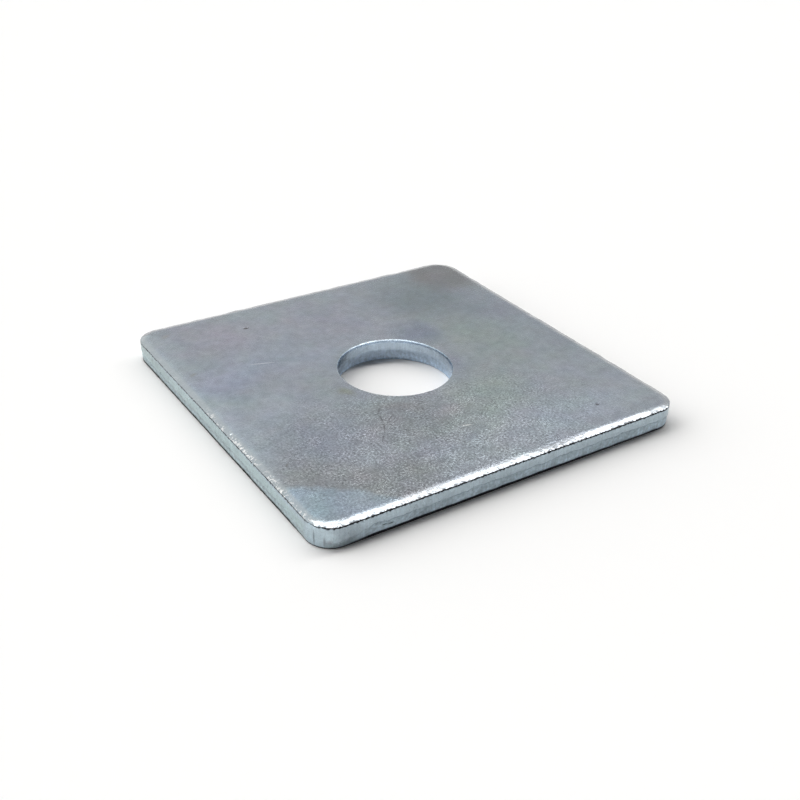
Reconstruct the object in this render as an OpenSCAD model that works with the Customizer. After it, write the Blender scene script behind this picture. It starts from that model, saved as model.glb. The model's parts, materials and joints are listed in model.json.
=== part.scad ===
// Square plate washer: a steel blank with rounded corners, punched out of plate, and a bolt hole
// pierced through its middle. It lies on its underside, with the hole along Z. Millimetres.
//
// Both sheared edges have the section that a press tool leaves. From the top down: a rolled lip where
// the plate was drawn in, a smooth upright land, a torn break that leans away, and a worn burr.

/* [Plate] */
// Length of each side, over the upright lands
side = 50; // [30:1:80]
// Thickness from the underside to the top face
thickness = 3; // [2:0.1:6]
// Radius of the four corners
corner_r = 3; // [2:0.25:10]

/* [Bolt hole] */
// Diameter of the hole at its upright land
hole_d = 14.5; // [9:0.5:26]

/* [Outer edge] */
// Width of the rolled lip, in from the land
edge_roll_w = 1.2; // [0.5:0.05:1.6]
// Depth of the rolled lip below the top face
edge_roll_h = 0.28; // [0.1:0.02:0.8]
// Height of the upright land
edge_land_h = 1.3; // [0.4:0.05:1.8]
// Lean of the torn break, from the land to the underside
edge_break_w = 0.04; // [0.02:0.02:0.4]
// Width of the worn burr, in along the underside
edge_burr_w = 0.12; // [0.1:0.01:0.5]
// Height of the worn burr above the underside
edge_burr_h = 0.08; // [0.02:0.01:0.09]

/* [Hole edge] */
// Width of the rolled lip, out from the land
hole_roll_w = 0.35; // [0.3:0.05:1]
// Depth of the rolled lip below the top face
hole_roll_h = 0.2; // [0.05:0.05:0.25]
// Height of the upright land
hole_land_h = 1.4; // [0.4:0.05:1.6]
// Lean of the torn break, from the land to the underside
hole_break_w = 0.14; // [0.02:0.02:0.4]
// Width of the worn burr, out along the underside
hole_burr_w = 0.15; // [0.12:0.01:0.5]
// Height of the worn burr above the underside
hole_burr_h = 0.1; // [0.02:0.01:0.12]

/* [Hidden] */
$fn = 96;
zinc = [0.60, 0.64, 0.68];
hole_r = hole_d / 2;
// Length of the straight run between two corners
straight = side - 2 * corner_r;
// How far a cut runs past the faces that it opens
past = 1;

// Waste outside an arc that leaves the face y = 0 tangentially, w in, and meets the wall x = 0, h down
module rounding_waste(w, h) {
    rounding_r = (w * w + h * h) / (2 * h);
    difference() {
        translate([-w, -rounding_r]) square([w + past, rounding_r + past]);
        translate([-w, -rounding_r]) circle(rounding_r);
    }
}

// Waste outside a sheared edge, in section: the land stands on x = 0, with the steel on its -x side
module sheared_edge_waste(roll_w, roll_h, land_h, break_w, burr_w, burr_h) {
    break_top = thickness - roll_h - land_h;
    translate([0, thickness]) rounding_waste(roll_w, roll_h);
    polygon([[0, break_top], [-break_w, burr_h], [-break_w, -past], [past, -past], [past, break_top]]);
    translate([-break_w, 0]) mirror([0, 1]) rounding_waste(burr_w, burr_h);
}

// Half of the plate's section, from its middle out to an edge at the given reach
module half_section(reach) {
    difference() {
        square([reach, thickness]);
        translate([reach, 0]) sheared_edge_waste(
            edge_roll_w, edge_roll_h, edge_land_h, edge_break_w, edge_burr_w, edge_burr_h);
    }
}

// The blank: two crossed bars between the corners, and a quarter turn of the section at each corner
module blank() {
    for (turn = [0, 90])
        rotate([90, 0, turn]) linear_extrude(straight, center = true) {
            half_section(side / 2);
            mirror([1, 0]) half_section(side / 2);
        }
    for (turn = [0 : 90 : 270])
        rotate(turn) translate([straight / 2, straight / 2])
            rotate_extrude(angle = 90) half_section(corner_r);
}

// The pierced hole, with the same kind of edge turned outwards
module bolt_hole() {
    rotate_extrude() {
        translate([0, -past]) square([hole_r, thickness + 2 * past]);
        translate([hole_r, 0]) mirror([1, 0]) sheared_edge_waste(
            hole_roll_w, hole_roll_h, hole_land_h, hole_break_w, hole_burr_w, hole_burr_h);
    }
}

module plate_washer() {
    color(zinc) difference() {
        blank();
        bolt_hole();
    }
}

plate_washer();
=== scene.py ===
import json
import math

import bpy
from mathutils import Matrix, Vector


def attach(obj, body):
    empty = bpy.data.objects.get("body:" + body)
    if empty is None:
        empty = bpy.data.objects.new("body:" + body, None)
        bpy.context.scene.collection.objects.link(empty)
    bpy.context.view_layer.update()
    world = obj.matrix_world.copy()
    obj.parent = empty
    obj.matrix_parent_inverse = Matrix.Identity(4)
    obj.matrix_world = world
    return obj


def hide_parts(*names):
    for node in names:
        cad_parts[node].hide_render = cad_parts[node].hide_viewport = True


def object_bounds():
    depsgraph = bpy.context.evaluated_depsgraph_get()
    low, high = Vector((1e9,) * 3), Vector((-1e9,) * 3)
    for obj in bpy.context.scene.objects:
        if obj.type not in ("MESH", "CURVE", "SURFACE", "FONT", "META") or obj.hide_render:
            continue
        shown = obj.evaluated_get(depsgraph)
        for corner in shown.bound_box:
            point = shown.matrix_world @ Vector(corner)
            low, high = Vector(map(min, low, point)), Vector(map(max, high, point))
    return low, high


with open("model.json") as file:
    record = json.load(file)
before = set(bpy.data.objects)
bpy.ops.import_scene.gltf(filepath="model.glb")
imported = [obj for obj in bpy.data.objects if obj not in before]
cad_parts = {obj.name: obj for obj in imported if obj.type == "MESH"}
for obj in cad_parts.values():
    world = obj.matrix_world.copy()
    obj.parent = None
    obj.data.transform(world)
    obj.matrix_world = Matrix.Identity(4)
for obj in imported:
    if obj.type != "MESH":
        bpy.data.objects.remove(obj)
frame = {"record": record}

mm = 0.001
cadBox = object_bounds()
side = cadBox[1].x - cadBox[0].x
thickness = cadBox[1].z
boltHole = next(m for m in frame["record"]["mounts"] if m["name"] == "bolt_hole")
holeRadius = boltHole["dims"]["r_mm"] * mm
holeLand = boltHole["dims"]["length_mm"] * mm
print("frame: side", round(side / mm, 3), "mm, thickness", round(thickness / mm, 3), "mm")


# Selecting and small helpers

def deselectAll():
    if bpy.context.object and bpy.context.object.mode != "OBJECT":
        bpy.ops.object.mode_set(mode="OBJECT")
    bpy.ops.object.select_all(action="DESELECT")


def makeActive(piece):
    deselectAll()
    piece.select_set(True)
    bpy.context.view_layer.objects.active = piece


def pick(piece, kind, test):
    # selects the edges or faces that pass the test, and goes back to edit mode
    bpy.ops.object.mode_set(mode="EDIT")
    bpy.ops.mesh.select_mode(type=kind)
    bpy.ops.mesh.select_all(action="DESELECT")
    bpy.ops.object.mode_set(mode="OBJECT")
    for part in {"EDGE": piece.data.edges, "FACE": piece.data.polygons}[kind]:
        part.select = test(part)
    bpy.ops.object.mode_set(mode="EDIT")


def edgeLength(mesh, edge):
    return (mesh.vertices[edge.vertices[0]].co - mesh.vertices[edge.vertices[1]].co).length


def arcSteps(width, depth, steps):
    # an arc that leaves the face tangentially: (step in, step up) pairs from the wall to the face
    radius = (width ** 2 + depth ** 2) / (2 * depth)
    start = math.asin(width / radius)
    angles = [start * (1 - i / steps) for i in range(steps + 1)]
    places = [(width - radius * math.sin(a), depth - radius * (1 - math.cos(a))) for a in angles]
    return [(b[0] - a[0], b[1] - a[1]) for a, b in zip(places, places[1:])]


def fade(value, start, end):
    # 0 before start, 1 after end, straight between them
    return min(1.0, max(0.0, (value - start) / (end - start)))


# The plate

plateLook = {
    "cornerRadius": 3.0 * mm,
    "column": 0.125 * mm,        # mesh columns along the edge
    "splits": 4,                 # the straights are cut twice, the second time into this many
    "rollWidth": 1.2 * mm,
    "rollDepth": 0.28 * mm,
    "rampWidth": 0.5 * mm,       # outer part of the roll, worn to a straight ramp
    "rampRows": 5,
    "arcDepth": 0.113 * mm,      # the rest is an arc
    "arcRows": 7,
    "landHeight": 1.3 * mm,
    "landRows": 5,
    "lipHeight": 0.2 * mm,       # torn lip just under the roll
    "lipRows": 2,
    "breakStep": 0.02 * mm,      # the break starts this far behind the land
    "breakLean": 0.04 * mm,
    "breakRows": 8,
    "burrWidth": 0.12 * mm,
    "burrHeight": 0.08 * mm,
    "burrRows": 3,
    "holeRollWidth": 0.35 * mm,
    "holeArcWidth": 0.3 * mm,    # the hole's roll: a shallow arc, then a steep lip
    "holeArcDepth": 0.08 * mm,
    "holeArcRows": 5,
    "holeLipRows": 2,
    "holeLandRows": 4,
    "holeBreakLean": 0.14 * mm,
    "holeBreakRows": 5,
    "holeBurrWidth": 0.15 * mm,
    "holeBurrHeight": 0.1 * mm,
    "holeBurrRows": 2,
    "topRings": 6,
    "undersideRings": 2,
    "footRing": 1.0 * mm,        # width of the ring that closes the underside round the hole
    "sharpAngle": 30,            # degrees; edges up to this angle are shaded smooth
}
lipLevel = thickness - plateLook["rollDepth"]
landTop = lipLevel - plateLook["lipHeight"]
landBottom = lipLevel - plateLook["landHeight"]
creaseLevel = (lipLevel + landTop) / 2
holeLandBottom = boltHole["pos_m"][2] - holeLand / 2


def rollSteps(look):
    # (step in, step up) pairs from the wall, up the ramp and round the arc to the face
    rampRise = look["rollDepth"] - look["arcDepth"]
    ramp = [(look["rampWidth"] / look["rampRows"], rampRise / look["rampRows"])] * look["rampRows"]
    return ramp + arcSteps(look["rollWidth"] - look["rampWidth"], look["arcDepth"], look["arcRows"])


def holeProfile(look):
    # (radius, height) places down the hole, from the top face to the underside
    places = [(holeRadius + look["holeRollWidth"], thickness)]
    arc = arcSteps(look["holeArcWidth"], look["holeArcDepth"], look["holeArcRows"])
    for stepIn, stepUp in reversed(arc):
        places.append((places[-1][0] - stepIn, places[-1][1] - stepUp))
    lipIn = (look["holeRollWidth"] - look["holeArcWidth"]) / look["holeLipRows"]
    lipDown = (thickness - look["holeArcDepth"] - holeLandBottom - holeLand) / look["holeLipRows"]
    for row in range(look["holeLipRows"]):
        places.append((places[-1][0] - lipIn, places[-1][1] - lipDown))
    for row in range(look["holeLandRows"]):
        places.append((holeRadius, places[-1][1] - holeLand / look["holeLandRows"]))
    stepOut = look["holeBreakLean"] / look["holeBreakRows"]
    stepDown = (holeLandBottom - look["holeBurrHeight"]) / look["holeBreakRows"]
    for row in range(look["holeBreakRows"]):
        places.append((places[-1][0] + stepOut, places[-1][1] - stepDown))
    burr = arcSteps(look["holeBurrWidth"], look["holeBurrHeight"], look["holeBurrRows"])
    for stepOut, stepDown in burr:
        places.append((places[-1][0] + stepOut, places[-1][1] - stepDown))
    return places


def widest(piece):
    # reach along X of what is selected
    bpy.ops.object.mode_set(mode="OBJECT")
    reach = max(v.co.x for v in piece.data.vertices if v.select)
    bpy.ops.object.mode_set(mode="EDIT")
    return reach


def drawIn(piece, radius, level, rings):
    # rings in from the square outline, each rounder than the last, to a circle
    middle = (0, 0, level)
    for left in range(rings, 0, -1):
        reach = widest(piece)
        scale = (reach - (reach - radius) / left) / reach
        bpy.ops.mesh.extrude_region_move()
        bpy.ops.transform.resize(value=(scale, scale, 1), center_override=middle)
        bpy.ops.transform.tosphere(value=1 / left, center_override=middle)
    scale = radius / widest(piece)
    bpy.ops.transform.resize(value=(scale, scale, 1), center_override=middle)


def drawOutline(look):
    # outline at the foot of the land: a square with its corners rounded
    straight = side - 2 * look["cornerRadius"]
    cornerColumns = round(math.pi / 2 * look["cornerRadius"] / look["column"])
    straightColumns = round(straight / look["column"] / look["splits"])
    deselectAll()
    bpy.ops.mesh.primitive_plane_add(size=side, location=(0, 0, landBottom))
    plate = bpy.context.object
    plate.name = plate.data.name = "washerPlate"
    bpy.ops.object.transform_apply(location=True, rotation=True, scale=True)
    bpy.ops.object.mode_set(mode="EDIT")
    bpy.ops.mesh.select_all(action="SELECT")
    bpy.ops.mesh.bevel(offset=look["cornerRadius"], segments=cornerColumns, affect="VERTICES")
    pick(plate, "EDGE", lambda e: edgeLength(plate.data, e) > straight / 2)
    bpy.ops.mesh.subdivide(number_cuts=straightColumns - 1)
    bpy.ops.mesh.subdivide(number_cuts=look["splits"] - 1)
    return plate


def raiseTop(look):
    # up the land, over the torn lip and the roll to the flat top
    bpy.ops.mesh.select_mode(type="FACE")
    bpy.ops.mesh.select_all(action="SELECT")
    risers = [(look["landHeight"] - look["lipHeight"]) / look["landRows"]] * look["landRows"]
    risers += [look["lipHeight"] / look["lipRows"]] * look["lipRows"]
    for rise in risers:
        bpy.ops.mesh.extrude_region_move(TRANSFORM_OT_translate={"value": (0, 0, rise)})
    for stepIn, stepUp in rollSteps(look):
        bpy.ops.mesh.inset(thickness=stepIn, depth=stepUp)
    bpy.ops.mesh.inset(thickness=look["column"], depth=0)


def sinkUnderside(plate, look):
    # down the break and round the worn burr to the flat underside
    pick(plate, "FACE", lambda f: f.center.z < landBottom + look["column"] and len(f.vertices) > 4)
    bpy.ops.mesh.normals_make_consistent(inside=False)
    bpy.ops.mesh.inset(thickness=look["breakStep"], depth=look["breakStep"])
    stepIn = (look["breakLean"] - look["breakStep"]) / look["breakRows"]
    stepDown = (landBottom - look["breakStep"] - look["burrHeight"]) / look["breakRows"]
    for row in range(look["breakRows"]):
        bpy.ops.mesh.inset(thickness=stepIn, depth=stepDown)
    for stepIn, stepDown in arcSteps(look["burrWidth"], look["burrHeight"], look["burrRows"]):
        bpy.ops.mesh.inset(thickness=stepIn, depth=stepDown)
    bpy.ops.mesh.inset(thickness=look["column"], depth=0)


def pierceHole(plate, look):
    # the underside's big face is drawn in to near the hole's foot, and the top one in and down to that foot
    profile = holeProfile(look)
    pick(plate, "FACE", lambda f: len(f.vertices) > 4 and f.center.z < thickness / 2)
    drawIn(plate, profile[-1][0] + look["footRing"], 0, look["undersideRings"])
    pick(plate, "FACE", lambda f: len(f.vertices) > 4 and f.center.z > thickness / 2)
    drawIn(plate, profile[0][0], thickness, look["topRings"])
    for above, below in zip(profile, profile[1:]):
        bpy.ops.mesh.extrude_region_move(TRANSFORM_OT_translate={"value": (0, 0, below[1] - above[1])})
        scale = below[0] / above[0]
        bpy.ops.transform.resize(value=(scale, scale, 1), center_override=(0, 0, below[1]))

    # both big faces are taken out, and a ring joins the two borders that they leave
    pick(plate, "FACE", lambda f: len(f.vertices) > 4)
    bpy.ops.mesh.delete(type="ONLY_FACE")
    bpy.ops.mesh.select_mode(type="EDGE")
    bpy.ops.mesh.select_all(action="DESELECT")
    bpy.ops.mesh.select_non_manifold()
    bpy.ops.mesh.bridge_edge_loops()


def modelPlate(look):
    plate = drawOutline(look)
    raiseTop(look)
    sinkUnderside(plate, look)
    pierceHole(plate, look)
    bpy.ops.mesh.select_all(action="SELECT")
    bpy.ops.mesh.normals_make_consistent(inside=False)
    bpy.ops.object.mode_set(mode="OBJECT")
    return plate


plate = modelPlate(plateLook)
print("plate:", len(plate.data.vertices), "vertices,", len(plate.data.polygons), "faces")


# Pits in the top face, in millimetres

pitLook = [
    {"name": "backPit", "place": (-11.52, 19.02), "width": 0.62, "length": 0.85, "depth": 0.11},
    {"name": "rightPit", "place": (15.84, -20.17), "width": 0.5, "length": 0.62, "depth": 0.1},
]
ballMesh = {"segments": 24, "ring_count": 16}


def cutPit(piece, look):
    # a shallow dish: a ball sunk into the face, stretched along X
    radius = (look["width"] ** 2 / 4 + look["depth"] ** 2) / (2 * look["depth"])
    place = (look["place"][0] * mm, look["place"][1] * mm, thickness + (radius - look["depth"]) * mm)
    deselectAll()
    bpy.ops.mesh.primitive_uv_sphere_add(radius=radius * mm, location=place, **ballMesh)
    ball = bpy.context.object
    ball.name = look["name"]
    bpy.ops.transform.resize(value=(look["length"] / look["width"], 1, 1))
    makeActive(piece)
    bpy.ops.object.modifier_add(type="BOOLEAN")
    cut = piece.modifiers[-1]
    cut.object = ball
    cut.solver = "EXACT"
    bpy.ops.object.modifier_apply(modifier=cut.name)
    deselectAll()
    ball.select_set(True)
    bpy.ops.object.delete()


for pit in pitLook:
    cutPit(plate, pit)
print("pits cut:", len(plate.data.polygons), "faces")


# Tearing and wear of the sheared edges

# reaches are distances below and above a level, fades run between two places or distances, and sides are
# the shares of the front right, front left and other edges
wearLook = {
    "slack": 1.05,               # the rolls are taken a little wider than they are
    "skin": 0.01 * mm,           # room for rounding where a row of the mesh lies on a level
    "hair": 0.001 * mm,          # the same, on the diagonal between two edges
    "cornerFade": (-22.5 * mm, -18.5 * mm),
    "cornerCalm": 0.7,           # share of the tearing that the front corner lacks
    "lipWanderReach": (0.6 * mm, 0.25 * mm),
    "lipJagReach": (0.07 * mm, 0.12 * mm),
    "lipJagSides": (1, 0.8, 0.15),
    "creaseRowReach": (0.05 * mm, 0.05 * mm),
    "creaseRowSides": (1, 0.5, 0.7),
    "breakWanderReach": (1.0 * mm, 0.8 * mm),
    "breakJagReach": (0.4 * mm, 0.3 * mm),
    "leftDropFade": (19 * mm, 23 * mm),
    "rollSkinFade": (0, 0.05 * mm),
    "holeLipFade": (0, 0.03 * mm),
    "holeLipFoot": (2.2 * mm, 2.8 * mm),
    "holeBreakWanderReach": (0.9 * mm, 1.0 * mm),
}
restPlaces = [v.co.copy() for v in plate.data.vertices]


def outlineInset(place):
    # how far a place lies in from the plate's outline
    radius = plateLook["cornerRadius"]
    overX = abs(place.x) - side / 2 + radius
    overY = abs(place.y) - side / 2 + radius
    if overX > 0 and overY > 0:
        return radius - math.hypot(overX, overY)
    return radius - max(overX, overY)


def onEdge(place):
    return outlineInset(place) < plateLook["rollWidth"] * wearLook["slack"]


def onHole(place):
    return math.hypot(place.x, place.y) < holeRadius + plateLook["holeRollWidth"] * wearLook["slack"]


def nearLevel(place, level, reach):
    # 1 at the level, fading to 0 at the two distances below and above it
    below, above = reach
    if place.z > level:
        return 1 - fade(place.z, level, level + above)
    return 1 - fade(-place.z, -level, -level + below)


def sideShare(place, frontRight, frontLeft, others):
    # the two edges that face the front are worn unlike the two behind
    if place.y < wearLook["hair"] - abs(place.x):
        return frontRight
    return frontLeft if place.x < -abs(place.y) else others


def frontCorner(place):
    # 1 round the corner nearest the camera, fading out along its two edges
    return 1 - fade(max(place.x, place.y), *wearLook["cornerFade"])


def lipWander(place):
    return nearLevel(place, lipLevel, wearLook["lipWanderReach"]) if onEdge(place) else 0


def lipJag(place):
    if not onEdge(place):
        return 0
    return nearLevel(place, lipLevel, wearLook["lipJagReach"]) * sideShare(place, *wearLook["lipJagSides"])


def creaseRow(place):
    if not onEdge(place):
        return 0
    sides = wearLook["creaseRowSides"]
    return nearLevel(place, creaseLevel, wearLook["creaseRowReach"]) * sideShare(place, *sides)


def breakWander(place):
    return nearLevel(place, landBottom, wearLook["breakWanderReach"]) if onEdge(place) else 0


def breakJag(place):
    return nearLevel(place, landBottom, wearLook["breakJagReach"]) if onEdge(place) else 0


def leftDrop(place):
    # the left edge broke away lower down
    middle = 1 - fade(abs(place.y), *wearLook["leftDropFade"])
    return breakWander(place) * sideShare(place, 0, 1, 0) * middle


def cornerDrop(place):
    # the land runs far down round the front corner
    return breakWander(place) * frontCorner(place)


def tornBand(place):
    skin = wearLook["skin"]
    if not onEdge(place) or not skin < place.z <= landBottom - skin:
        return 0
    return 1 - wearLook["cornerCalm"] * frontCorner(place)


def rollSkin(place):
    if not onEdge(place) or place.z < lipLevel:
        return 0
    return fade(thickness - place.z, *wearLook["rollSkinFade"])


def holeLip(place):
    if not onHole(place):
        return 0
    return fade(thickness - place.z, *wearLook["holeLipFade"]) * fade(place.z, *wearLook["holeLipFoot"])


def holeTorn(place):
    skin = wearLook["skin"]
    return 1 if onHole(place) and skin <= place.z <= holeLandBottom + skin else 0


def holeBreakWander(place):
    return nearLevel(place, holeLandBottom, wearLook["holeBreakWanderReach"]) if onHole(place) else 0


# tears, in the order in which they are made: grain and push in millimetres, no grain for an even push
tearLook = [
    {"name": "lipWander", "share": lipWander, "along": "Z",
     "grain": 2.4, "layers": 2, "push": 0.16, "level": 0.5},
    {"name": "breakWander", "share": breakWander, "along": "Z",
     "grain": 1.9, "layers": 3, "push": 0.75, "level": 0.5},
    {"name": "breakJag", "share": breakJag, "along": "Z",
     "grain": 0.6, "layers": 2, "push": 0.3, "level": 0.5},
    {"name": "leftDrop", "share": leftDrop, "along": "Z",
     "grain": 0, "layers": 0, "push": -0.25, "level": 0},
    {"name": "cornerDrop", "share": cornerDrop, "along": "Z",
     "grain": 0, "layers": 0, "push": -0.6, "level": 0},
    {"name": "holeBreakWander", "share": holeBreakWander, "along": "Z",
     "grain": 2.1, "layers": 2, "push": 0.5, "level": 0.5},
    {"name": "creaseRow", "share": creaseRow, "along": "NORMAL",
     "grain": 0.45, "layers": 2, "push": -0.2, "level": 0},
    {"name": "tornBand", "share": tornBand, "along": "NORMAL",
     "grain": 1.3, "layers": 2, "push": -0.13, "level": 0.2},
    {"name": "holeTorn", "share": holeTorn, "along": "NORMAL",
     "grain": 1.1, "layers": 2, "push": -0.09, "level": 0.2},
    {"name": "rollSkin", "share": rollSkin, "along": "NORMAL",
     "grain": 0.5, "layers": 2, "push": -0.03, "level": 0.1},
    {"name": "holeLip", "share": holeLip, "along": "NORMAL",
     "grain": 0.6, "layers": 2, "push": -0.03, "level": 0},
    {"name": "lipJag", "share": lipJag, "along": "Z",
     "grain": 0.24, "layers": 2, "push": 0.16, "level": 0.5},
]

# dents knocked into the edges: place on the plate, radius and depth, in millimetres
dentLook = [
    {"place": (-24.6, -4.1, 2.78), "radius": 0.34, "depth": 0.06},
    {"place": (-24.7, -7.8, 2.7), "radius": 0.3, "depth": 0.05},
    {"place": (-24.45, -14.1, 2.85), "radius": 0.3, "depth": 0.05},
    {"place": (-24.3, -15.0, 2.9), "radius": 0.36, "depth": 0.06},
    {"place": (-24.7, -18.6, 2.78), "radius": 0.3, "depth": 0.04},
    {"place": (8.7, -25, 2.6), "radius": 0.22, "depth": 0.08},
    {"place": (9.9, -25, 2.6), "radius": 0.24, "depth": 0.09},
    {"place": (24.6, 3.2, 2.8), "radius": 0.6, "depth": 0.03},
    {"place": (24.5, -12.6, 2.8), "radius": 0.5, "depth": 0.03},
    {"place": (-6.3, 24.6, 2.8), "radius": 0.6, "depth": 0.03},
    {"place": (15.4, 24.5, 2.8), "radius": 0.5, "depth": 0.03},
]


def displace(piece, group, along, level, push, cloud=None):
    # pushes the group's vertices by so many millimetres, all alike or by the cloud's light and dark
    makeActive(piece)
    bpy.ops.object.modifier_add(type="DISPLACE")
    shift = piece.modifiers[-1]
    if cloud:
        shift.texture = cloud
        shift.texture_coords = "LOCAL"
    shift.direction = along
    shift.vertex_group = group.name
    shift.mid_level = level
    shift.strength = push * mm
    bpy.ops.object.modifier_apply(modifier=shift.name)


def roughen(piece, tear):
    group = piece.vertex_groups.new(name=tear["name"])
    for index, place in enumerate(restPlaces):
        share = tear["share"](place)
        if share > 0:
            group.add([index], share, "REPLACE")
    cloud = None
    if tear["grain"]:
        cloud = bpy.data.textures.new(tear["name"], "CLOUDS")
        cloud.noise_scale = tear["grain"] * mm
        cloud.noise_depth = tear["layers"]
    displace(piece, group, tear["along"], tear["level"], tear["push"], cloud)


def knockDents(piece, dents):
    group = piece.vertex_groups.new(name="dents")
    deepest = max(dent["depth"] for dent in dents)
    for dent in dents:
        middle = Vector(dent["place"]) * mm
        for index, place in enumerate(restPlaces):
            near = 1 - ((place - middle).length / (dent["radius"] * mm)) ** 2
            if near > 0:
                group.add([index], near * dent["depth"] / deepest, "REPLACE")
    displace(piece, group, "NORMAL", 0, -deepest)


# Zones that the plating's colours go by, painted before the edges are torn, so that they move with them

zoneLook = {
    "crease": {"reach": (0.16 * mm, 0.076 * mm), "left": 0.66, "cornerLess": 0.12, "others": 0.75},
    "torn": {"cornerLess": 0.85, "holeWidth": 0.3 * mm},
    # painted contact shadow: the foot of the walls and of the bore is painted dark where they meet the
    # floor
    "foot": {
        "thin": (0.08 * mm, 0.26 * mm),
        "soft": (0.15 * mm, 0.6 * mm),
        "wide": 0.26 * mm,
        "wideLess": 0.1 * mm,    # the right edge's painted foot shadow is narrower toward its far end
        "wideFade": (6 * mm, 14 * mm),
        "wideBlur": 0.18 * mm,
        "left": 0.9,
        "others": 0.8,
        "corner": 0.9,
        "hole": 0.3,
    },
    "tear": {"reach": (0.03 * mm, 0.03 * mm), "sides": (1, 0.6, 0.9)},
    "lip": {"fade": (0.08 * mm, 0.24 * mm)},
    "roll": {"fade": (0.55 * mm, 0.95 * mm)},
    "rim": {"topFade": (0, 0.03 * mm), "height": 0.05 * mm},
    "rubbed": {"fade": (0.6 * mm, 1.8 * mm), "cornerFade": (-24.5 * mm, -22.5 * mm)},
    "wall": {"inset": 0.3 * mm, "holeLip": 0.07 * mm},
}


def overLand(place):
    # on the roll or the top face
    return place.z >= lipLevel - wearLook["skin"]


# grime and painted shade in the crease just under the roll
def creaseGrimeShadeZone(place):
    if not onEdge(place):
        return 0
    look = zoneLook["crease"]
    left = look["left"] - look["cornerLess"] * frontCorner(place)
    return nearLevel(place, creaseLevel, look["reach"]) * sideShare(place, 1, left, look["others"])


def tornZone(place):
    look = zoneLook["torn"]
    skin = wearLook["skin"]
    if place.z > landBottom - skin:
        return 0
    if outlineInset(place) < plateLook["burrWidth"] + plateLook["breakLean"] + skin:
        return 1 - look["cornerLess"] * frontCorner(place)
    return 1 if math.hypot(place.x, place.y) < holeRadius + look["holeWidth"] else 0


# painted contact shadow along the foot of the walls and the bore
def footShadowZone(place):
    if not tornZone(place):
        return 0
    look = zoneLook["foot"]
    thin = 1 - fade(place.z, *look["thin"])
    if onHole(place):
        return look["hole"] * thin
    dark = look["wide"] - look["wideLess"] * fade(place.x, *look["wideFade"])
    wide = 1 - fade(place.z, dark, dark + look["wideBlur"])
    soft = 1 - fade(place.z, *look["soft"])
    edge = sideShare(place, wide, look["left"] * soft, look["others"] * thin)
    return edge + (look["corner"] * thin - edge) * frontCorner(place)


# the dark line along the torn border: painted shadow under its step
def tearShadowZone(place):
    if not onEdge(place):
        return 0
    look = zoneLook["tear"]
    line = nearLevel(place, landBottom, look["reach"])
    return line * sideShare(place, *look["sides"]) * (1 - frontCorner(place))


def lipZone(place):
    if not onEdge(place) or not overLand(place):
        return 0
    return 1 - fade(place.z - lipLevel, *zoneLook["lip"]["fade"])


def rollZone(place):
    if not overLand(place):
        return 0
    return 1 - fade(outlineInset(place), *zoneLook["roll"]["fade"])


# painted shade: the hole's roll under the top face is darkened to dim its highlight
def rimShadeZone(place):
    if not onHole(place):
        return 0
    look = zoneLook["rim"]
    return fade(thickness - place.z, *look["topFade"]) * fade(place.z - lipLevel, 0, look["height"])


def leftSheenZone(place):
    # painted sheen: the left roll is painted brighter, for how the light falls on it
    if not overLand(place):
        return 0
    look = zoneLook["rubbed"]
    edge = 1 - fade(outlineInset(place), *look["fade"])
    return edge * sideShare(place, 0, 1, 0) * fade(place.y, *look["cornerFade"])


def wallZone(place):
    look = zoneLook["wall"]
    if onEdge(place):
        return 1 if not overLand(place) and outlineInset(place) < look["inset"] else 0
    return 1 if onHole(place) and wearLook["skin"] < place.z < thickness - look["holeLip"] else 0


zones = {
    "crease": creaseGrimeShadeZone,
    "torn": tornZone,
    "foot": footShadowZone,
    "tear": tearShadowZone,
    "lip": lipZone,
    "roll": rollZone,
    "rim": rimShadeZone,
    "rubbed": leftSheenZone,
    "wall": wallZone,
}


def paintZone(piece, name, share):
    zone = piece.data.attributes.new(name, "FLOAT", "POINT")
    zone.data.foreach_set("value", [float(share(place)) for place in restPlaces])


for name, share in zones.items():
    paintZone(plate, name, share)
for tear in tearLook:
    roughen(plate, tear)
knockDents(plate, dentLook)
plate.vertex_groups.clear()
makeActive(plate)
bpy.ops.object.shade_smooth_by_angle(angle=math.radians(plateLook["sharpAngle"]))
print("edges torn and dented")
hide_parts("plate_washer")
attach(plate, "root")


# Zinc plating

zincLook = {
    "paleColor": (0.276, 0.306, 0.337),
    "deepColor": (0.243, 0.273, 0.305),
    "landColor": (0.425, 0.508, 0.565),
    "hueReach": 0.13,
    "noiseMiddle": (0.5, 0.5, 0.5),
    "warpReach": (3.0, 3.0, 0.3),    # millimetres
    "grainShare": (0.08, 1),         # outside its patch and inside it
    "grainOnRoll": (1, 0.3),         # off the roll and on it
    "grainBump": 0.075 * mm,
    "roughSpan": (0.3, 0.7),
    "roughness": (0.2, 0.3),
    "roughOnRoll": (1, 0.78),
    "rollColor": (0.3, 0.315, 0.33),
    "rollCover": 0.7,
    "rimTint": (0.95, 0.98, 0.96),
    "rubbedTint": (1.34, 1.4, 1.39),
    "streakStretch": (5.0, 5.0, 0.35),
    "holeTint": (1.0, 1.0, 1.05),
    "tornTint": (1.05, 1.05, 1.05),
    "tornHeights": (0.2, 1.4),       # millimetres
    "tornShade": (1.15, 0.82),       # painted light at the foot, painted shade up toward the land
    "tornRough": 0.33,
    "tornBump": 0.05 * mm,
    "holeTorn": (1.0, 1.0, 1.01),
    "tearSpan": (0.5, 0.9),
    "tearTint": (0.45, 0.47, 0.5),
    "fleckShare": (0.15, 1),         # outside its patch and inside it
    "fleckColor": (0.88, 0.89, 0.88),
    "creaseSpan": (0.22, 0.5),
    "footSpan": (0.2, 0.75),
    "grime": (0.012, 0.012, 0.014),
}

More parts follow.
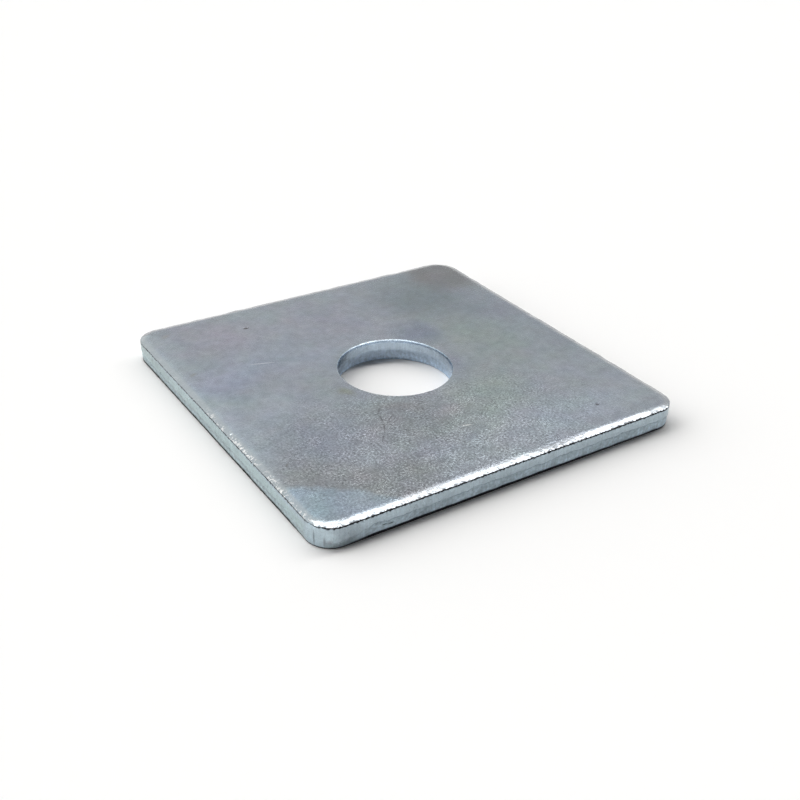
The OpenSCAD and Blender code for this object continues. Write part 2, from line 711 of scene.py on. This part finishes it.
# noises: scale per millimetre, layers and roughness, and the span of the noise that is spread over a range
noiseLook = {
    "warp": {"scale": 0.3, "layers": 4, "rough": 0.5},
    "mottle": {"scale": 0.16, "layers": 5, "rough": 0.5, "span": (0.3, 0.7), "range": (0, 1)},
    "hues": {"scale": 0.3, "layers": 3, "rough": 0.5},
    "grain": {"scale": 3.7, "layers": 3, "rough": 0.6, "span": (0.25, 0.75), "range": (0.35, 1.65)},
    "patches": {"scale": 0.5, "layers": 3, "rough": 0.5, "span": (0.35, 0.65), "range": (0.55, 1.6)},
    "blotches": {"scale": 0.9, "layers": 3, "rough": 0.65, "span": (0.3, 0.7), "range": (0.89, 1.11)},
    "streaks": {"scale": 1, "layers": 3, "rough": 0.5, "span": (0.3, 0.7), "range": (0.92, 1.08)},
    "torn": {"scale": 2.4, "layers": 4, "rough": 0.6, "span": (0.3, 0.7), "range": (0.76, 1.26)},
    "tears": {"scale": 0.9, "layers": 3, "rough": 0.5, "span": (0.33, 0.5), "range": (0.2, 1)},
    "flecks": {"scale": 2.6, "layers": 4, "rough": 0.65, "span": (0.51, 0.58), "range": (0, 1)},
    "clusters": {"scale": 0.45, "layers": 3, "rough": 0.5, "span": (0.42, 0.58), "range": (0.15, 1)},
    "ragged": {"scale": 2.8, "layers": 3, "rough": 0.5, "span": (0, 1), "range": (-0.6, 0.6)},
}

# patches, tints and marks: place and reach on the plate in millimetres, turn in degrees, soft borders

# the grain stands out most in the middle of the front
grainPatch = {"name": "grain", "place": (-5, -17, 3), "reach": (29, 19, 3), "turn": -8, "soft": 0.75}

# the bore is bluer than the outer edges
holePatch = {"name": "hole", "place": (0, 0, 1.5), "reach": (9, 9, 9), "turn": 0, "soft": 0.05}

# the lip has bright flecks, partly wear and partly painted glints, most of them along the front of the left
# edge
glintFleckPatch = {"name": "flecks", "place": (-25, -10, 2.8), "reach": (6, 17, 3), "turn": 0, "soft": 0.5}

# each tint covers the ones before it
tintLook = [
    {"name": "left blue", "place": (-11, 10, 3), "reach": (14, 10, 0.8), "turn": 0, "soft": 0.9,
     "tint": (1.04, 1.05, 1.1)},
    {"name": "right teal", "place": (21, 2, 3), "reach": (10, 18, 0.8), "turn": 0, "soft": 0.9,
     "tint": (0.855, 0.88, 0.89)},
    {"name": "front grey", "place": (-6, -12, 3), "reach": (13, 8, 0.8), "turn": -15, "soft": 0.8,
     "tint": (0.86, 0.85, 0.815)},
    {"name": "hole grey", "place": (8, -6, 3), "reach": (6, 6, 0.8), "turn": 0, "soft": 0.9,
     "tint": (0.82, 0.83, 0.88)},
    {"name": "back purple", "place": (0, 15, 3), "reach": (14, 9, 0.8), "turn": 0, "soft": 0.8,
     "tint": (1.0, 0.955, 1.0)},
    {"name": "left grey", "place": (-20, -2, 3), "reach": (8, 9, 0.8), "turn": 0, "soft": 0.9,
     "tint": (1.12, 1.13, 1.15)},
    {"name": "left violet", "place": (-19.6, 7, 3), "reach": (7, 5, 0.8), "turn": 20, "soft": 0.9,
     "tint": (1.05, 1.05, 1.18)},
    {"name": "back left pink", "place": (-15.5, 18, 3), "reach": (9, 7, 0.8), "turn": -15, "soft": 0.9,
     "tint": (1.09, 0.985, 1.04)},
    {"name": "lower purple", "place": (-15, -10, 3), "reach": (10, 6, 0.8), "turn": -40, "soft": 0.9,
     "tint": (0.97, 0.95, 0.99)},
    {"name": "right green", "place": (14, 2, 3), "reach": (8, 14, 0.8), "turn": 10, "soft": 0.9,
     "tint": (0.865, 0.915, 0.835)},
    {"name": "lower green", "place": (6.5, -11, 3), "reach": (12, 7, 0.8), "turn": 42, "soft": 0.9,
     "tint": (0.955, 1.0, 0.9)},
    {"name": "back dark green", "place": (14.5, 16, 3), "reach": (13, 12, 0.8), "turn": -30, "soft": 0.9,
     "tint": (0.635, 0.685, 0.68)},
    {"name": "back corner brown", "place": (22, 21, 3), "reach": (8, 8, 0.8), "turn": 0, "soft": 0.6,
     "tint": (0.61, 0.575, 0.545)},
    {"name": "hole violet", "place": (7.5, 6.5, 3), "reach": (5, 5, 0.8), "turn": 0, "soft": 0.9,
     "tint": (0.725, 0.745, 0.83)},
    {"name": "right edge blue", "place": (21, 8, 3), "reach": (5, 8, 0.8), "turn": 0, "soft": 0.9,
     "tint": (0.765, 0.79, 0.835)},
    {"name": "right corner grey", "place": (12, -20.5, 3), "reach": (13, 6, 0.8), "turn": 0, "soft": 0.9,
     "tint": (1.09, 1.115, 1.145)},
    {"name": "front brown", "place": (-36, -40, 3), "reach": (33.5, 33.5, 0.8), "turn": 0, "soft": 0.18,
     "tint": (0.885, 0.845, 0.805)},
    {"name": "front dark", "place": (-12, -20.5, 3), "reach": (7, 4.5, 0.8), "turn": 0, "soft": 0.9,
     "tint": (0.83, 0.8, 0.76)},
    {"name": "front corner teal", "place": (-36, -40, 3), "reach": (26.8, 26.8, 0.8), "turn": 0,
     "soft": 0.05, "tint": (1.03, 1.115, 1.165)},
    {"name": "hole red", "place": (-0.4, -12.4, 3), "reach": (3, 1.8, 0.8), "turn": 0, "soft": 0.9,
     "tint": (1.0, 0.94, 0.9)},
    {"name": "hole brown", "place": (-5, -8.6, 3), "reach": (4, 2.3, 0.8), "turn": -35, "soft": 0.9,
     "tint": (0.85, 0.79, 0.76)},
    {"name": "hole olive", "place": (-8.5, -2.5, 3), "reach": (1.1, 2.2, 0.8), "turn": 10, "soft": 0.9,
     "tint": (0.88, 0.88, 0.72)},
    {"name": "left wall green", "place": (-25, 0, 1.2), "reach": (5, 32, 1.55), "turn": 0, "soft": 0.3,
     "tint": (1.02, 1.06, 0.99)},
    {"name": "left break grey", "place": (-25, 0, 0.4), "reach": (5, 32, 1.05), "turn": 0, "soft": 0.25,
     "tint": (0.9, 0.89, 0.835)},
    {"name": "left wall end", "place": (-25, 24, 2.1), "reach": (5, 14, 1.1), "turn": 0, "soft": 0.8,
     "tint": (0.82, 0.85, 0.78)},
    {"name": "corner grey", "place": (-22.4, -24.9, 1.6), "reach": (2.6, 2.6, 2.4), "turn": 0, "soft": 0.7,
     "tint": (0.8, 0.79, 0.79)},
    {"name": "corner pale", "place": (-24.7, -23.5, 1.4), "reach": (2.6, 2.6, 2.4), "turn": 0, "soft": 0.6,
     "tint": (1.06, 1.065, 1.05)},
    # painted shade low on the back left wall of the bore
    {"name": "hole dark", "place": (-5.4, 5, 1.0), "reach": (3.5, 3.5, 1.4), "turn": 0, "soft": 0.8,
     "tint": (0.64, 0.655, 0.68)},
]

# sharper than the tints and not warped; strength is how much of the mark's colour covers what is under it
markLook = [
    {"name": "back pit", "place": (-11.52, 19.02, 3), "reach": (0.5, 0.38, 0.5), "turn": 0, "soft": 0.6,
     "color": (0.05, 0.045, 0.045), "strength": 0.85},
    {"name": "right pit", "place": (15.84, -20.17, 3), "reach": (0.4, 0.3, 0.5), "turn": 0, "soft": 0.6,
     "color": (0.05, 0.05, 0.055), "strength": 0.85},
    {"name": "left spot", "place": (-22.15, -12.84, 3), "reach": (0.4, 0.15, 0.5), "turn": 40, "soft": 0.6,
     "color": (0.12, 0.12, 0.11), "strength": 0.7},
    {"name": "left smudge", "place": (-22.8, 10.63, 3), "reach": (0.9, 0.5, 0.5), "turn": 30, "soft": 0.9,
     "color": (0.25, 0.25, 0.22), "strength": 0.4},
    {"name": "back smudge", "place": (-21.82, 21.92, 3), "reach": (1.2, 0.7, 0.5), "turn": 30, "soft": 0.9,
     "color": (0.25, 0.24, 0.21), "strength": 0.4},
    {"name": "scratch", "place": (-14.15, 9.04, 3), "reach": (2.1, 0.09, 0.5), "turn": -18, "soft": 0.6,
     "color": (0.85, 0.87, 0.9), "strength": 0.4},
    {"name": "upper crack", "place": (-7.55, -8.21, 3), "reach": (0.95, 0.11, 0.5), "turn": 54, "soft": 0.6,
     "color": (0.06, 0.06, 0.065), "strength": 0.6},
    {"name": "middle crack", "place": (-8.26, -9.83, 3), "reach": (1.3, 0.12, 0.5), "turn": 75, "soft": 0.6,
     "color": (0.06, 0.06, 0.065), "strength": 0.6},
    {"name": "lower crack", "place": (-9.05, -11.75, 3), "reach": (1.3, 0.13, 0.5), "turn": 60, "soft": 0.6,
     "color": (0.06, 0.06, 0.065), "strength": 0.6},
    {"name": "foot crack", "place": (-10.3, -13.5, 3), "reach": (1.1, 0.1, 0.5), "turn": 47, "soft": 0.6,
     "color": (0.06, 0.06, 0.065), "strength": 0.5},
    {"name": "side crack", "place": (-7.2, -10.21, 3), "reach": (1.1, 0.11, 0.5), "turn": 38, "soft": 0.6,
     "color": (0.06, 0.06, 0.065), "strength": 0.6},
    {"name": "nick", "place": (-0.5, -16.09, 3), "reach": (0.7, 0.08, 0.5), "turn": -20, "soft": 0.5,
     "color": (0.95, 0.95, 0.95), "strength": 0.7},
    {"name": "left tear", "place": (-17.3, -25, 1.0), "reach": (0.42, 0.4, 0.1), "turn": 0, "soft": 0.7,
     "color": (0.04, 0.04, 0.045), "strength": 0.85},
    {"name": "right tear", "place": (-16.5, -25, 0.88), "reach": (0.5, 0.4, 0.09), "turn": 0, "soft": 0.7,
     "color": (0.04, 0.04, 0.045), "strength": 0.85},
    {"name": "corner crease", "place": (-24.7, -23.3, 1.2), "reach": (0.4, 0.14, 1.4), "turn": 26,
     "soft": 0.7, "color": (0.1, 0.11, 0.12), "strength": 0.55},
    {"name": "corner streak", "place": (-24.01, -24.23, 0.9), "reach": (0.4, 0.2, 1.0), "turn": 48,
     "soft": 0.8, "color": (0.17, 0.18, 0.2), "strength": 0.5},
    {"name": "corner smudge", "place": (-23.6, -24.55, 0.85), "reach": (0.5, 0.5, 0.4), "turn": 58,
     "soft": 0.9, "color": (0.2, 0.19, 0.21), "strength": 0.45},
]


def addNode(tree, kind, inputs, **settings):
    node = tree.nodes.new(kind)
    for name, value in settings.items():
        setattr(node, name, value)
    for name, value in inputs.items():
        if isinstance(value, bpy.types.NodeSocket):
            tree.links.new(value, node.inputs[name])
        else:
            node.inputs[name].default_value = value
    return node


def mapValue(tree, value, fromRange, toRange, smooth=False):
    inputs = {"Value": value, "From Min": fromRange[0], "From Max": fromRange[1]}
    inputs.update({"To Min": toRange[0], "To Max": toRange[1]})
    kind = "SMOOTHSTEP" if smooth else "LINEAR"
    return addNode(tree, "ShaderNodeMapRange", inputs, interpolation_type=kind).outputs["Result"]


def mathNode(tree, operation, first, second):
    return addNode(tree, "ShaderNodeMath", {0: first, 1: second}, operation=operation).outputs["Value"]


def vectorMath(tree, operation, *vectors):
    node = addNode(tree, "ShaderNodeVectorMath", dict(enumerate(vectors)), operation=operation)
    return node.outputs["Value" if operation in ("LENGTH", "DOT_PRODUCT") else "Vector"]


def mixValue(tree, factor, under, over):
    # inputs 2 and 3 of a Mix node are its two plain values, and output 0 is their mix
    return addNode(tree, "ShaderNodeMix", {0: factor, 2: under, 3: over}).outputs[0]


def blendColor(tree, mode, factor, under, over):
    # inputs 6 and 7 of a Mix node are its two colours, and output 2 is their mix
    inputs = {0: factor, 6: under, 7: over}
    return addNode(tree, "ShaderNodeMix", inputs, data_type="RGBA", blend_type=mode).outputs[2]


def opaque(color):
    return (*color, 1)


def cover(tree, color, share, over):
    return blendColor(tree, "MIX", share, color, opaque(over))


def tinted(tree, color, share, tint):
    return blendColor(tree, "MULTIPLY", share, color, opaque(tint))


def shaded(tree, color, shade):
    return blendColor(tree, "MULTIPLY", 1.0, color, shade)


def noise(tree, place, look, output="Fac"):
    inputs = {"Vector": place, "Scale": look["scale"], "Detail": look["layers"], "Roughness": look["rough"]}
    return addNode(tree, "ShaderNodeTexNoise", inputs).outputs[output]


def spread(tree, value, look):
    return mapValue(tree, value, look["span"], look["range"])


def spreadNoise(tree, place, look):
    return spread(tree, noise(tree, place, look), look)


def zone(tree, name):
    return addNode(tree, "ShaderNodeAttribute", {}, attribute_name=name).outputs["Fac"]


def spot(tree, place, look):
    # 1 inside an ellipsoid on the plate, fading to 0 at its border
    turn = (0, 0, math.radians(look["turn"]))
    inputs = {"Vector": place, "Location": look["place"], "Rotation": turn, "Scale": look["reach"]}
    local = addNode(tree, "ShaderNodeMapping", inputs, vector_type="TEXTURE", label=look["name"])
    distance = vectorMath(tree, "LENGTH", local.outputs["Vector"])
    return mapValue(tree, distance, (1, 1 - look["soft"]), (0, 1), smooth=True)


def platePlaces(tree, look):
    # places in millimetres, and the same places pushed about for ragged borders
    coords = addNode(tree, "ShaderNodeTexCoord", {}).outputs["Object"]
    inputs = {"Vector": coords, "Scale": [1 / mm] * 3}
    place = addNode(tree, "ShaderNodeMapping", inputs).outputs["Vector"]
    drift = noise(tree, place, noiseLook["warp"], "Color")
    drift = vectorMath(tree, "SUBTRACT", drift, look["noiseMiddle"])
    drift = vectorMath(tree, "MULTIPLY", drift, look["warpReach"])
    return place, vectorMath(tree, "ADD", place, drift)


def mixTints(tree, warped):
    tint = opaque((1, 1, 1))
    for patch in tintLook:
        tint = cover(tree, tint, spot(tree, warped, patch), patch["tint"])
    return tint


def grainContrast(tree, look, place, warped, roll):
    # strong and uneven in the grain's patch, weak on the roll
    contrast = mapValue(tree, spot(tree, warped, grainPatch), (0, 1), look["grainShare"])
    contrast = mathNode(tree, "MULTIPLY", contrast, spreadNoise(tree, place, noiseLook["patches"]))
    return mathNode(tree, "MULTIPLY", contrast, mapValue(tree, roll, (0, 1), look["grainOnRoll"]))


def topColor(tree, look, parts):
    # zinc with its mottle, tints, hues, grain and blotches, then the roll, painted shade on the hole's rim
    # and painted sheen on the left roll
    mottle = spreadNoise(tree, parts["place"], noiseLook["mottle"])
    color = cover(tree, opaque(look["deepColor"]), mottle, look["paleColor"])
    color = shaded(tree, color, parts["tint"])
    reach = look["hueReach"]
    hue = noise(tree, parts["place"], noiseLook["hues"], "Color")
    hue = vectorMath(tree, "MULTIPLY_ADD", hue, [reach] * 3, [1 - reach / 2] * 3)
    color = shaded(tree, color, hue)
    speckle = spread(tree, parts["grain"], noiseLook["grain"])
    color = blendColor(tree, "MULTIPLY", parts["contrast"], color, speckle)
    color = shaded(tree, color, parts["blotch"])
    roll = mathNode(tree, "MULTIPLY", parts["roll"], look["rollCover"])
    color = cover(tree, color, roll, look["rollColor"])
    # painted shade dims the hole's rim
    color = tinted(tree, color, zone(tree, "rim"), look["rimTint"])
    # painted sheen brightens the left roll
    return tinted(tree, color, zone(tree, "rubbed"), look["rubbedTint"])


def landColor(tree, look, parts):
    # the smooth lands, with upright streaks
    inputs = {"Vector": parts["place"], "Scale": look["streakStretch"]}
    stretched = addNode(tree, "ShaderNodeMapping", inputs).outputs["Vector"]
    streak = spreadNoise(tree, stretched, noiseLook["streaks"])
    color = shaded(tree, opaque(look["landColor"]), streak)
    color = shaded(tree, color, parts["blotch"])
    color = shaded(tree, color, parts["tint"])
    return tinted(tree, color, parts["inHole"], look["holeTint"])


def tearColor(tree, look, parts, color):
    # the torn break, painted lighter toward its foot and darker toward the land, and a dark line of tears
    # where it starts, its darkness painted shadow under the torn step
    height = addNode(tree, "ShaderNodeSeparateXYZ", {"Vector": parts["place"]}).outputs["Z"]
    tint = shaded(tree, opaque(look["tornTint"]), spread(tree, parts["tornNoise"], noiseLook["torn"]))
    # painted light and shade: the break is lighter toward its foot and darker up toward the land
    tint = shaded(tree, tint, mapValue(tree, height, look["tornHeights"], look["tornShade"]))
    tint = tinted(tree, tint, parts["inHole"], look["holeTorn"])
    color = blendColor(tree, "MULTIPLY", parts["torn"], color, tint)
    # painted shadow along the torn border
    line = mapValue(tree, zone(tree, "tear"), look["tearSpan"], (0, 1))
    tear = mathNode(tree, "MULTIPLY", line, spreadNoise(tree, parts["place"], noiseLook["tears"]))
    return tinted(tree, color, tear, look["tearTint"])


def wearColor(tree, look, parts, color):
    # bright flecks on the lip, partly wear and partly painted glints, then grime and painted shade in the
    # crease, and painted shadow along the foot
    glintFleck = spreadNoise(tree, parts["place"], noiseLook["flecks"])
    cluster = spreadNoise(tree, parts["place"], noiseLook["clusters"])
    patch = mapValue(tree, spot(tree, parts["warped"], glintFleckPatch), (0, 1), look["fleckShare"])
    for share in (cluster, zone(tree, "lip"), patch):
        glintFleck = mathNode(tree, "MULTIPLY", glintFleck, share)
    color = cover(tree, color, glintFleck, look["fleckColor"])
    # grime and painted shade in the crease
    ragged = spreadNoise(tree, parts["place"], noiseLook["ragged"])
    crease = mathNode(tree, "ADD", zone(tree, "crease"), ragged)
    color = cover(tree, color, mapValue(tree, crease, look["creaseSpan"], (0, 1)), look["grime"])
    # painted contact shadow along the foot
    return cover(tree, color, mapValue(tree, zone(tree, "foot"), look["footSpan"], (0, 1)), look["grime"])


def markColor(tree, parts, color):
    for mark in markLook:
        share = mathNode(tree, "MULTIPLY", spot(tree, parts["place"], mark), mark["strength"])
        color = cover(tree, color, share, mark["color"])
    return color


def zincMaterial(look):
    material = bpy.data.materials.new("zincPlating")
    material.use_nodes = True
    tree = material.node_tree
    shader = tree.nodes["Principled BSDF"]
    shader.inputs["Metallic"].default_value = 1

    # what several of the colours share
    place, warped = platePlaces(tree, look)
    grain = noise(tree, place, noiseLook["grain"])
    tornNoise = noise(tree, place, noiseLook["torn"])
    roll = zone(tree, "roll")
    torn = zone(tree, "torn")
    contrast = grainContrast(tree, look, place, warped, roll)
    parts = {
        "place": place,
        "warped": warped,
        "tint": mixTints(tree, warped),
        "grain": grain,
        "contrast": contrast,
        "blotch": spreadNoise(tree, place, noiseLook["blotches"]),
        "roll": roll,
        "torn": torn,
        "tornNoise": tornNoise,
        "inHole": spot(tree, place, holePatch),
    }
    color = topColor(tree, look, parts)
    color = blendColor(tree, "MIX", zone(tree, "wall"), color, landColor(tree, look, parts))
    color = tearColor(tree, look, parts, color)
    color = wearColor(tree, look, parts, color)
    color = markColor(tree, parts, color)
    tree.links.new(color, shader.inputs["Base Color"])

    rough = mapValue(tree, grain, look["roughSpan"], look["roughness"])
    rough = mathNode(tree, "ADD", rough, mathNode(tree, "MULTIPLY", torn, look["tornRough"]))
    rough = mathNode(tree, "MULTIPLY", rough, mapValue(tree, roll, (0, 1), look["roughOnRoll"]))
    tree.links.new(rough, shader.inputs["Roughness"])

    inputs = {"Height": grain, "Strength": contrast, "Distance": look["grainBump"]}
    skin = addNode(tree, "ShaderNodeBump", inputs).outputs["Normal"]
    inputs = {"Height": mathNode(tree, "MULTIPLY", tornNoise, torn), "Strength": 1.0, "Normal": skin}
    inputs["Distance"] = look["tornBump"]
    bump = addNode(tree, "ShaderNodeBump", inputs).outputs["Normal"]
    tree.links.new(bump, shader.inputs["Normal"])
    return material


plate.data.materials.clear()
plate.data.materials.append(zincMaterial(zincLook))
print("zinc plating:", len(plate.data.materials[0].node_tree.nodes), "nodes")


# Camera, floor and light

cameraView = {
    "azimuth": -33.915,
    "elevation": 30.413,
    "roll": 1.789,
    "distance": 131.18 * mm,
    "target": Vector((-2.647, -5.277, 1.5)) * mm,
    "lens": 48.22,
    "clipStart": 10 * mm,
}
studioLook = {
    "floorSize": 6.0,            # metres
    "floorGap": 0.01 * mm,       # keeps the floor clear of the underside
    "floorColor": (0.98, 0.975, 0.965),
    "floorRoughness": 0.9,
    "floorSpecular": 0,
    "backdrop": 1.0,
    "front": (0.26, 0.02),       # sky in front of the plate, near the floor and higher up
    "frontFade": (0.45, 0.6),    # the fades and the panel's reaches are parts of a unit direction
    "back": (0.87, 2.8),         # sky behind the plate, on the right and on the left
    "backFade": (0.42, -0.75),
    "behind": (-0.15, 0.99, 0),  # the bright side
    "behindFade": (0.09, 0.39),
    "softbox": 6.3,              # the overhead panel
    "softboxX": (-0.4, 0.95),
    "across": (0.3, 0.95, 0),
    "softboxY": (0.225, 0.38),
    "softboxFade": 0.04,
    "softboxLow": (0.4, 0.5),
}


def placeCamera(look):
    turn = Matrix.Rotation(math.radians(look["azimuth"]), 3, "Z")
    tilt = Matrix.Rotation(math.radians(90 - look["elevation"]), 3, "X")
    roll = Matrix.Rotation(math.radians(look["roll"]), 3, "Z")
    aim = turn @ tilt @ roll
    deselectAll()
    place = look["target"] + aim @ Vector((0, 0, look["distance"]))
    bpy.ops.object.camera_add(location=place, rotation=aim.to_euler())
    camera = bpy.context.object
    camera.data.lens = look["lens"]
    camera.data.clip_start = look["clipStart"]
    bpy.context.scene.camera = camera


def layFloor(look):
    deselectAll()
    bpy.ops.mesh.primitive_plane_add(size=look["floorSize"], location=(0, 0, -look["floorGap"]))
    floor = bpy.context.object
    floor.name = floor.data.name = "floor"
    paint = bpy.data.materials.new("paleFloor")
    paint.use_nodes = True
    shader = paint.node_tree.nodes["Principled BSDF"]
    shader.inputs["Base Color"].default_value = opaque(look["floorColor"])
    shader.inputs["Roughness"].default_value = look["floorRoughness"]
    shader.inputs["Specular IOR Level"].default_value = look["floorSpecular"]
    floor.data.materials.append(paint)


def within(tree, value, reach, blur):
    # 1 between the two ends of the reach, fading to 0 outside them
    rise = mapValue(tree, value, (reach[0] - blur, reach[0] + blur), (0, 1), smooth=True)
    fall = mapValue(tree, value, (reach[1] - blur, reach[1] + blur), (1, 0), smooth=True)
    return mathNode(tree, "MULTIPLY", rise, fall)


def hangStudioLight(look):
    # a soft sky that lights the floor: dim in front, pale behind
    world = bpy.data.worlds.new("studio")
    bpy.context.scene.world = world
    world.use_nodes = True
    tree = world.node_tree
    toward = addNode(tree, "ShaderNodeTexCoord", {}).outputs["Generated"]
    parts = addNode(tree, "ShaderNodeSeparateXYZ", {"Vector": toward}).outputs
    front = mapValue(tree, parts["Z"], look["frontFade"], look["front"], smooth=True)
    back = mapValue(tree, parts["X"], look["backFade"], look["back"], smooth=True)
    behind = vectorMath(tree, "DOT_PRODUCT", toward, look["behind"])
    behind = mapValue(tree, behind, look["behindFade"], (0, 1), smooth=True)
    sky = mixValue(tree, behind, front, back)

    # the camera and the metal's mirror images see a white backdrop in place of that sky
    path = addNode(tree, "ShaderNodeLightPath", {}).outputs
    seen = mathNode(tree, "MAXIMUM", path["Is Camera Ray"], path["Is Glossy Ray"])
    seen = mathNode(tree, "MAXIMUM", seen, path["Is Transmission Ray"])
    seen = mathNode(tree, "MULTIPLY", seen, mathNode(tree, "LESS_THAN", path["Diffuse Depth"], 1))
    sky = mixValue(tree, seen, sky, look["backdrop"])

    # a bright panel overhead
    across = vectorMath(tree, "DOT_PRODUCT", toward, look["across"])
    panelX = within(tree, parts["X"], look["softboxX"], look["softboxFade"])
    panelY = within(tree, across, look["softboxY"], look["softboxFade"])
    panel = mathNode(tree, "MULTIPLY", panelX, panelY)
    panel = mathNode(tree, "MULTIPLY", panel, mapValue(tree, parts["Z"], look["softboxLow"], (0, 1)))
    level = mixValue(tree, panel, sky, look["softbox"])
    tree.links.new(level, tree.nodes["Background"].inputs["Color"])


placeCamera(cameraView)
layFloor(studioLook)
hangStudioLight(studioLook)
bpy.context.scene.view_settings.view_transform = "Standard"
print("studio set")
